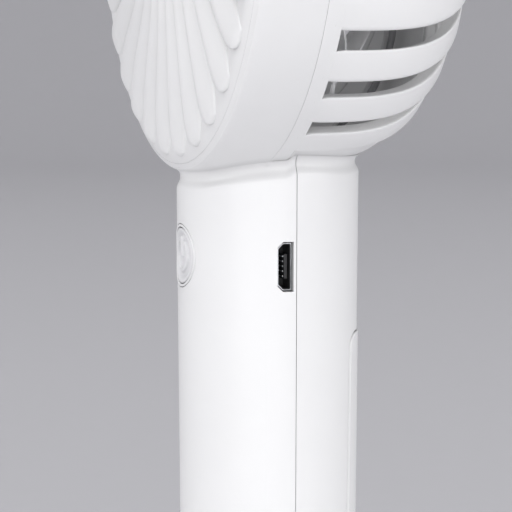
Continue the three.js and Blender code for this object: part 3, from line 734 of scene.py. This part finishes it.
def usb_shell():
    """Drawn metal shell of the charging socket, with a rounded lip at its mouth."""
    back, mouth = low("usb_socket_shell").x, SOCKET_MOUTH_X
    steps_in = [(0, back), (0, mouth - 0.1), (0.04, mouth), (0.125, mouth), (0.165, mouth - 0.1),
                (0.165, back + 0.6)]
    solid = Solid()
    solid.add(*swept([socket_loop(inset, x) for inset, x in steps_in]))
    return solid.make("usb_socket_shell_fine", sharp=30)


def box_form(x0, x1, y0, y1, z0, z1, radius):
    """A block whose long edges along X are rounded, and whose outer end is drawn in a little."""
    outline = rounded([(y0, z0, radius), (y1, z0, radius), (y1, z1, radius), (y0, z1, radius)], 3)
    middle_y, middle_z = (y0 + y1) / 2, (z0 + z1) / 2
    chamfer = radius * 0.4
    inset = [(lerp(y, middle_y, 0.12), z - math.copysign(chamfer, z - middle_z)) for y, z in outline]
    sections = [(x0, outline), (x1 - chamfer, outline), (x1, inset)]
    return swept([[(x, y, z) for y, z in loop] for x, loop in sections])


def usb_tongue():
    lo, hi = low("usb_socket_tongue"), high("usb_socket_tongue")
    solid = Solid()
    solid.add(*box_form(lo.x, hi.x, lo.y, hi.y, lo.z, hi.z, 0.15))
    return solid.make("usb_socket_tongue_fine")


def usb_contacts():
    """Five contacts along the tongue's front face."""
    lo, hi = low("usb_socket_tongue"), high("usb_socket_tongue")
    solid = Solid()
    for k in range(5):
        z = lerp(lo.z, hi.z, (k + 0.5) / 5)
        solid.add(*box_form(lo.x, hi.x - 0.3, lo.y - 0.15, lo.y + 0.15, z - 0.11, z + 0.11, 0.04))
    return solid.make("usb_socket_contacts")


def usb_shade_sleeve():
    """Painted shade: a black sleeve inside the metal shell, behind its lip, that darkens the socket's
    chamber where shade falls.
    """
    back, mouth = low("usb_socket_shell").x + 0.7, SOCKET_MOUTH_X - 0.25
    steps_in = [(0.175, back), (0.175, mouth), (0.25, mouth), (0.25, back + 0.4)]
    solid = Solid()
    solid.add(*swept([socket_loop(inset, x) for inset, x in steps_in]))
    return solid.make("usb_socket_shade_sleeve", sharp=30)


# ------------------------------------------------------------------ rear guard

def dome_stations(end_r, count):
    """Evenly spaced (radius, y, normal radius, normal y, distance) along the dome's outside."""
    fine = [dome(s) for s in steps(0, 0.98, 600)]
    length, table = 0, [(0, fine[0])]
    for before, after in zip(fine, fine[1:]):
        length += math.dist(before, after)
        table.append((length, after))
        if after[0] < end_r:
            break
    stations = []
    for distance in steps(0, length, count):
        k = next((i for i, row in enumerate(table) if row[0] >= distance), len(table) - 1)
        k = max(1, min(k, len(table) - 2))
        (d0, a), (d1, b) = table[k - 1], table[k]
        t = (distance - d0) / (d1 - d0)
        r, y = lerp(a[0], b[0], t), lerp(a[1], b[1], t)
        ahead, behind = table[min(k + 3, len(table) - 1)][1], table[max(0, k - 4)][1]
        along = Vector((ahead[0] - behind[0], ahead[1] - behind[1])).normalized()
        stations.append((r, y, along.y, -along.x, distance))
    return stations


def guard_point(station, a, lift):
    r, y, nr, ny, _ = station
    return on_head(r + nr * lift, math.radians(a), y + ny * lift)


def guard_bar(a, stations):
    """One slat, a little sunk along its upper edge and a little proud along its lower edge."""
    total = stations[-1][4]
    sections = []
    start = stations[0]
    for station in [(start[0], start[1] - 1, 1, 0, 0)] + stations:
        r, distance = station[0], station[4]
        half = r * math.radians(BAR_HALF_ANGLE)
        soft = min(1.1, half * 0.7)
        depth = GUARD_WALL * lerp(0.7, 1, min(1, half / 3))
        outline = rounded([(-half, 0, soft * 0.3), (half, 0, soft), (half * 0.9, -depth, soft * 0.7),
                           (depth * 0.8 - half, -depth, soft * 0.5)], 4)
        ramp = smoothstep(0, 1, distance) * smoothstep(total, total - 14, distance)
        section = []
        for across, lift in outline:
            tilt = lerp(-BAR_SUNK, BAR_PROUD, (across / half + 1) / 2)
            section.append(guard_point(station, a + math.degrees(across / r), lift + tilt * ramp))
        sections.append(section)
    return swept(sections)


def guard_sector(stations):
    """The closed part of the guard above the handle, set a little below the bars."""
    sheet = Sheet()
    half_angle = END_BAR_ANGLE - BAR_HALF_ANGLE / 2
    angles = steps(90 - half_angle, 90 + half_angle, 24)
    sheet.grid(angles, [float(i) for i in range(len(stations))])

    def place(depth):
        def at(a, v):
            station = stations[int(v)]
            return guard_point(station, a, -depth - SECTOR_RECESS * smoothstep(0, SECTOR_RAMP, station[4]))
        return at
    return sheet.shell(place(0), place(GUARD_WALL - 0.7))


def guard_ring():
    """The guard's front edge, with the lip that locates it in the front ring."""
    outer_r, front, back = HEAD_R - 0.02, SEAM_Y + 0.03, DOME_START_Y + 0.1
    return rounded([(outer_r, front, 0.06), (outer_r, back, 0.2), (44, back, 0.5), (43.2, -3.2, 0),
                    (43.2, -7.5, 0), (44.9, -7.5, 0), (44.9, front, 0)])


def guard_cup():
    """The guard's rear disc and the cup in its middle that holds the motor."""
    edge = REAR_DISC_R + 0.6
    outside = [(r, dome_y(r)) for r in steps(edge, 16.1, 4)]
    cover_seat = [(16.1, 25.6), (13.3, 25.6), (13.3, 23.5), (12.5, 23.5)]
    cup = [(12.5, 6.9), (3.5, 6.9), (3.5, 5.6), (14.2, 5.6)]
    inside = [(r, dome_y(r, GUARD_WALL)) for r in steps(14.2, edge, 4)]
    return outside + cover_seat + cup + inside


def rear_guard():
    solid = Solid()
    stations = dome_stations(REAR_DISC_R - 1.2, 34)
    for k in range(SLOTS + 1):
        solid.add(*guard_bar(90 - END_BAR_ANGLE - k * BAR_PITCH, stations))
    solid.add(*guard_sector(stations))
    solid.add(*turned(guard_ring(), 256, on_head))
    solid.add(*turned(guard_cup(), 96, on_head))
    return solid.make("rear_guard_fine", sharp=42)


def motor_cover():
    profile = rounded([(0, 28.2, 0), (9, 28.15, 3), (14.6, 27.6, 1.5), (15.8, 26.7, 0.5), (15.8, 25.9, 0),
                       (13, 25.9, 0), (13, 24.3, 0), (12, 24.3, 0), (12, 25.9, 0), (0, 25.9, 0)])
    solid = Solid()
    solid.add(*turned(profile, 96, on_head))
    return solid.make("motor_cover_fine")


# ------------------------------------------------------------------ front grille

def rib_half_width(r):
    share = math.pi * r / RIBS
    gap = lerp(0.34, 0.9, smoothstep(38, 43, r))
    past = max(0, (r - RIB_TAPER_R) / (RIB_TIP_R - RIB_TAPER_R))
    return (share - gap) * (0.1 + 0.9 * math.sqrt(max(0, 1 - past ** 2.2)))


def rib_swirl(r):
    return RIB_SWIRL * ((RIB_TIP_R - r) / (RIB_TIP_R - RIB_ROOT_R)) ** 1.6


def rib_crest(r):
    """The crests form a shallow dome that falls to the rim."""
    rise = (1 - (r / (RIB_TIP_R + 0.2)) ** 2) ** 0.7
    nose = 1 - math.sqrt(max(0, 1 - max(0, (r - RIB_TIP_R + RIB_NOSE) / RIB_NOSE) ** 2))
    return lerp(FRONT_Y - 0.35, RIB_CREST_Y + 0.05, rise) + 0.7 * nose


def rib_drop(t):
    """Depth below the crest across a rib: it slopes back towards its upper side and ends in a facet."""
    if t > 0.6:
        return 0.6 * (1 - math.sqrt(max(0, 1 - ((t - 0.6) / 0.4) ** 2)))
    share = (0.6 - t) / 1.6
    return 1.35 * share ** 1.5 + 0.6 * smoothstep(0.76, 1, share)


def grille_rib(tip_a):
    sections = []
    across = steps(-1, 1, 26)
    for i in range(57):
        along = math.sin(math.pi / 2 * i / 56) ** 0.85
        r = lerp(RIB_ROOT_R, RIB_TIP_R, along)
        half, crest = rib_half_width(r), rib_crest(r)
        depth = min(1, max(0.3, (FRONT_Y - crest + 0.1) / 1.4))
        section = [(t * half, crest + depth * rib_drop(t)) for t in across]
        section += [(half * 0.8, RIB_BACK_Y), (-half * 0.8, RIB_BACK_Y)]
        middle = tip_a - rib_swirl(r)
        sections.append([on_head(r, math.radians(middle) + w / r, y) for w, y in section])
    return swept(sections)


def front_grille():
    solid = Solid()
    surface = [(r, front_slope(r)) for r in steps(RIM_INNER_R + 0.5, RIM_R, 8)]
    inside = [(RIM_INNER_R, -12.9), (RIM_INNER_R, FRONT_Y + 0.7), (RIM_INNER_R + 0.15, FRONT_Y + 0.3)]
    rim = inside + surface + [(RIM_R, -14.2), (44.5, -14.2), (44.5, -12.9)]
    solid.add(*turned(rim, 256, on_head))
    hub = rounded([(0, -18, 0), (9.4, -18, 0), (9.4, -18.9, 0.1), (10.4, -18.8, 0.4),
                   (10.8, RIB_BACK_Y, 0.2), (0, RIB_BACK_Y, 0)], 3)
    solid.add(*turned(hub, 96, on_head))
    for i in range(RIBS):
        solid.add(*grille_rib(RIB_TIP_A + 360 / RIBS * i))
    return solid.make("front_grille_fine", sharp=60)


def centre_cap():
    profile = rounded([(0, -19.9, 0), (6, -19.8, 2), (8.6, -19.3, 0.8), (9, -18.3, 0), (0, -18.3, 0)])
    solid = Solid()
    solid.add(*turned(profile, 96, on_head))
    return solid.make("centre_cap_fine")


# ------------------------------------------------------------------ impeller

HUB_R = 14
BLADES = 5
BLADE_TIP_R = 41


def blade_place(turn, side):
    def place(along, across):
        r = lerp(HUB_R - 1, BLADE_TIP_R, along)
        half_chord = 7.5 + 7 * math.sin(math.pi * min(1, along * 0.62))
        round_tip = math.sqrt(max(0, 1 - smoothstep(0.8, 1, along) * abs(across) ** 4 * 0.5))
        pitch = math.radians(46 - 20 * along)
        camber = 1.6 * (1 - across * across)
        thick = (0.7 - 0.25 * along) * (1 - 0.55 * across ** 4)
        chordwise = across * half_chord * round_tip + 3 * along
        normal = camber + side * thick
        tangent = chordwise * math.cos(pitch) - normal * math.sin(pitch)
        axial = -2.5 + chordwise * math.sin(pitch) * 0.9 + normal * math.cos(pitch)
        return on_head(r, turn - tangent / r, max(-9.4, min(5.8, axial)))
    return place


def impeller():
    solid = Solid()
    bore = [(0, -5.6, 0), (1.3, -5.6, 0), (1.3, 3, 0), (3, 3, 0), (3, -6.4, 0), (12.3, -6.4, 0)]
    rim = [(12.6, 3.8, 0), (HUB_R, 3.8, 0), (HUB_R, -6.5, 1.2)]
    nose = [(12.6, -8.3, 1.5), (8, -9.2, 2), (0, -9.5, 0)]
    hub = rounded(bore + rim + nose, 4)
    solid.add(*turned(hub, 96, on_head))
    sheet = Sheet()
    sheet.grid(steps(0, 1, 22), steps(-1, 1, 20))
    for k in range(BLADES):
        turn = 2 * math.pi * k / BLADES
        solid.add(*sheet.shell(blade_place(turn, 1), blade_place(turn, -1)))
    return solid.make("impeller_fine", sharp=50)


def base_cap():
    r = high("base_cap").x
    top = high("base_cap").z
    profile = rounded([(0, 0.5, 0), (7.2, 0.5, 0.2), (7.6, 0, 0.2), (r, 0, 0.35), (r, top, 0.2),
                       (0, top, 0)], 4)
    solid = Solid()
    solid.add(*turned(profile, 96, on_handle_axis))
    return solid.make("base_cap_fine")


# ------------------------------------------------------------------ materials

# Reach in metres of the painted shade that darkens crevices and gaps.
PAINTED_SHADE_REACH = 0.004


def paint_gap_shade(nodes, links, shader, tone, color, depth):
    """Painted shade: an ambient occlusion node darkens the base colour where surfaces come close together,
    in creases, gaps and recesses.
    """
    shade_mask = nodes.new("ShaderNodeAmbientOcclusion")
    shade_mask.inputs["Distance"].default_value = PAINTED_SHADE_REACH
    shade = nodes.new("ShaderNodeMix")
    shade.data_type = "RGBA"
    shade.inputs["A"].default_value = (*[c * (1 - depth) for c in color], 1)
    links.new(shade_mask.outputs["AO"], shade.inputs["Factor"])
    links.new(tone.outputs["Result"], shade.inputs["B"])
    links.new(shade.outputs["Result"], shader.inputs["Base Color"])


def material(name, color, roughness, metallic=0.0, grain=3500, bump=0.05, variation=0.02,
             spread=0.08, painted_shade_depth=0.0):
    """Moulded or metal finish: fine surface grain, uneven gloss and slight tone changes from noise, with
    painted shade in crevices and gaps when asked for.
    """
    made = bpy.data.materials.new(name)
    made.use_nodes = True
    nodes, links = made.node_tree.nodes, made.node_tree.links
    shader = nodes["Principled BSDF"]
    shader.inputs["Metallic"].default_value = metallic
    place = nodes.new("ShaderNodeTexCoord")

    broad = nodes.new("ShaderNodeTexNoise")
    broad.inputs["Scale"].default_value = 90
    broad.inputs["Detail"].default_value = 3
    links.new(place.outputs["Object"], broad.inputs["Vector"])

    gloss = nodes.new("ShaderNodeMapRange")
    gloss.inputs["To Min"].default_value = roughness - spread / 2
    gloss.inputs["To Max"].default_value = roughness + spread / 2
    links.new(broad.outputs["Fac"], gloss.inputs["Value"])
    links.new(gloss.outputs["Result"], shader.inputs["Roughness"])

    tone = nodes.new("ShaderNodeMix")
    tone.data_type = "RGBA"
    tone.inputs["A"].default_value = (*[c * (1 - variation) for c in color], 1)
    tone.inputs["B"].default_value = (*[min(1, c * (1 + variation)) for c in color], 1)
    links.new(broad.outputs["Fac"], tone.inputs["Factor"])
    links.new(tone.outputs["Result"], shader.inputs["Base Color"])
    # Painted shade: the base colour darkens where surfaces come close together.
    if painted_shade_depth > 0:
        paint_gap_shade(nodes, links, shader, tone, color, painted_shade_depth)

    fine = nodes.new("ShaderNodeTexNoise")
    fine.inputs["Scale"].default_value = grain
    fine.inputs["Detail"].default_value = 4
    links.new(place.outputs["Object"], fine.inputs["Vector"])
    relief = nodes.new("ShaderNodeBump")
    relief.inputs["Strength"].default_value = bump
    relief.inputs["Distance"].default_value = 0.0001
    links.new(fine.outputs["Fac"], relief.inputs["Height"])
    links.new(relief.outputs["Normal"], shader.inputs["Normal"])
    return made


FINISHES = {
    # white_shell and white_button are darkened in their crevices and gaps: painted shade.
    "white_shell": material("white_shell", (0.89, 0.89, 0.888), 0.34, bump=0.06, painted_shade_depth=0.5),
    "white_satin": material("white_satin", (0.86, 0.86, 0.86), 0.44, bump=0.1),
    "white_button": material("white_button", (0.84, 0.84, 0.85), 0.36, bump=0.05, painted_shade_depth=0.4),
    "white_impeller": material("white_impeller", (0.86, 0.86, 0.87), 0.3, bump=0.03),
    "steel": material("steel", (0.6, 0.61, 0.63), 0.3, metallic=1, grain=6000, bump=0.05, spread=0.12),
    "copper": material("copper", (0.62, 0.3, 0.15), 0.35, metallic=1, grain=2500, bump=0.3, spread=0.1),
    "brass": material("brass", (0.72, 0.55, 0.25), 0.32, metallic=1, grain=5000, bump=0.05, spread=0.12),
    "black_plastic": material("black_plastic", (0.02, 0.02, 0.022), 0.45, grain=2500, bump=0.12),
    "board": material("board", (0.02, 0.16, 0.07), 0.35, grain=1800, bump=0.1, variation=0.15),
    "led": material("led", (0.8, 0.82, 0.86), 0.12, bump=0.02),
    "cell_wrap": material("cell_wrap", (0.06, 0.2, 0.42), 0.3, grain=900, bump=0.05, variation=0.06),
    "red_wire": material("red_wire", (0.45, 0.02, 0.02), 0.42, grain=2000, bump=0.08),
    "black_wire": material("black_wire", (0.015, 0.015, 0.015), 0.42, grain=2000, bump=0.08),
    "white_wire": material("white_wire", (0.75, 0.75, 0.75), 0.42, grain=2000, bump=0.08),
    "grey_wire": material("grey_wire", (0.35, 0.35, 0.36), 0.42, grain=2000, bump=0.08),
}


def finish_with(piece, slot):
    piece.data.materials.clear()
    piece.data.materials.append(FINISHES[slot])


def dress_frame():
    """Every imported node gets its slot's finish, also where a finer piece stands for it."""
    for subpart in frame["record"]["subparts"]:
        node = frame["nodes"][subpart["node"]]
        node.data.materials.clear()
        node.data.materials.append(FINISHES[subpart["material_slot"]])


def stand_for(piece, node, body, slot):
    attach(piece, body)
    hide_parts(node)
    finish_with(piece, slot)


# ------------------------------------------------------------------ stage

def camera():
    """Seen from its socket's side, a little to the front and above, from 40 cm away."""
    distance, azimuth, below_centre = 400, math.radians(71.65), 29.3
    facing, tilt = math.radians(71.92), math.radians(4.5)
    data = bpy.data.cameras.new("camera")
    data.sensor_width = 36
    data.lens = 170.6
    data.clip_start = 0.01
    data.clip_end = 50
    made = bpy.data.objects.new("camera", data)
    bpy.context.scene.collection.objects.link(made)
    across, towards = math.sin(azimuth) * distance, -math.cos(azimuth) * distance
    made.location = Vector((across, towards, HEAD_Z - below_centre)) * MM
    back = Vector((math.sin(facing) * math.cos(tilt), -math.cos(facing) * math.cos(tilt), math.sin(tilt)))
    made.rotation_mode = "QUATERNION"
    made.rotation_quaternion = back.to_track_quat("Z", "Y")
    bpy.context.scene.camera = made


def softbox(name, azimuth, elevation, distance, size, power):
    """An area light that faces the fan's middle."""
    data = bpy.data.lights.new(name, "AREA")
    data.shape = "RECTANGLE"
    data.size, data.size_y = size
    data.energy = power
    made = bpy.data.objects.new(name, data)
    bpy.context.scene.collection.objects.link(made)
    a, e = math.radians(azimuth), math.radians(elevation)
    back = Vector((math.sin(a) * math.cos(e), -math.cos(a) * math.cos(e), math.sin(e)))
    made.visible_camera = False
    made.location = back * distance + Vector((0, 0, HEAD_Z * 0.8 * MM))
    made.rotation_mode = "QUATERNION"
    made.rotation_quaternion = back.to_track_quat("Z", "Y")


def backdrop():
    """A plain pale floor that sweeps up into a wall all round."""
    floor_r, sweep_r, wall_top = 2.7, 1.2, 3.4
    profile = [(0, 0), (0.4, 0), (1.2, 0), (floor_r, 0)]
    for t in steps(0, math.pi / 2, 24)[1:]:
        profile.append((floor_r + sweep_r * math.sin(t), sweep_r * (1 - math.cos(t))))
    profile.append((floor_r + sweep_r, wall_top))
    points, faces, sides = [], [], 96
    for k in range(sides):
        angle = 2 * math.pi * k / sides
        points += [(r * math.cos(angle), r * math.sin(angle), z) for r, z in profile]
    for k in range(sides):
        here, following = k * len(profile), (k + 1) % sides * len(profile)
        for i in range(len(profile) - 1):
            faces.append([here + i, following + i, following + i + 1, here + i + 1])
    mesh = bpy.data.meshes.new("floor")
    mesh.from_pydata(points, [], faces)
    mesh.polygons.foreach_set("use_smooth", [True] * len(mesh.polygons))
    made = bpy.data.objects.new("floor", mesh)
    bpy.context.scene.collection.objects.link(made)
    paper = material("paper", (0.515, 0.512, 0.535), 0.8, grain=300, bump=0.05, variation=0.01, spread=0.05)
    made.data.materials.append(paper)


def lights():
    world = bpy.data.worlds.new("world")
    world.use_nodes = True
    world.node_tree.nodes["Background"].inputs["Color"].default_value = (0.81, 0.81, 0.815, 1)
    world.node_tree.nodes["Background"].inputs["Strength"].default_value = 1.2
    bpy.context.scene.world = world
    softbox("key", 8, 14, 2.0, (1.8, 0.7), 11)
    softbox("fill", 128, 13, 2.0, (1.8, 0.7), 12.5)
    softbox("top", 60, 78, 1.8, (1.2, 1.2), 5)
    softbox("bounce", 66, -6, 0.8, (1.2, 0.1), 2.5)


# ------------------------------------------------------------------ assembly

def build():
    dress_frame()
    stand_for(front_shell(), "front_shell", "casing", "white_shell")
    stand_for(rear_shell(), "rear_shell", "casing", "white_shell")
    stand_for(rear_guard(), "rear_guard", "casing", "white_shell")
    stand_for(front_grille(), "front_grille", "casing", "white_shell")
    stand_for(motor_cover(), "motor_cover", "casing", "white_shell")
    stand_for(centre_cap(), "centre_cap", "casing", "white_satin")
    stand_for(base_cap(), "base_cap", "casing", "white_satin")
    stand_for(button_ring(), "button_ring", "casing", "white_satin")
    stand_for(usb_shell(), "usb_socket_shell", "casing", "steel")
    stand_for(usb_tongue(), "usb_socket_tongue", "casing", "black_plastic")
    stand_for(impeller(), "impeller", "impeller_body", "white_impeller")
    stand_for(power_button(), "power_button", "button_body", "white_button")
    stand_for(battery_door(), "battery_door", "door_body", "white_shell")
    # The contacts, and the black sleeve inside the socket that is painted shade.
    for piece, slot in ((usb_contacts(), "steel"), (usb_shade_sleeve(), "black_plastic")):
        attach(piece, "casing")
        finish_with(piece, slot)


camera()
lights()
backdrop()
build()
bpy.context.scene.view_settings.view_transform = "Standard"
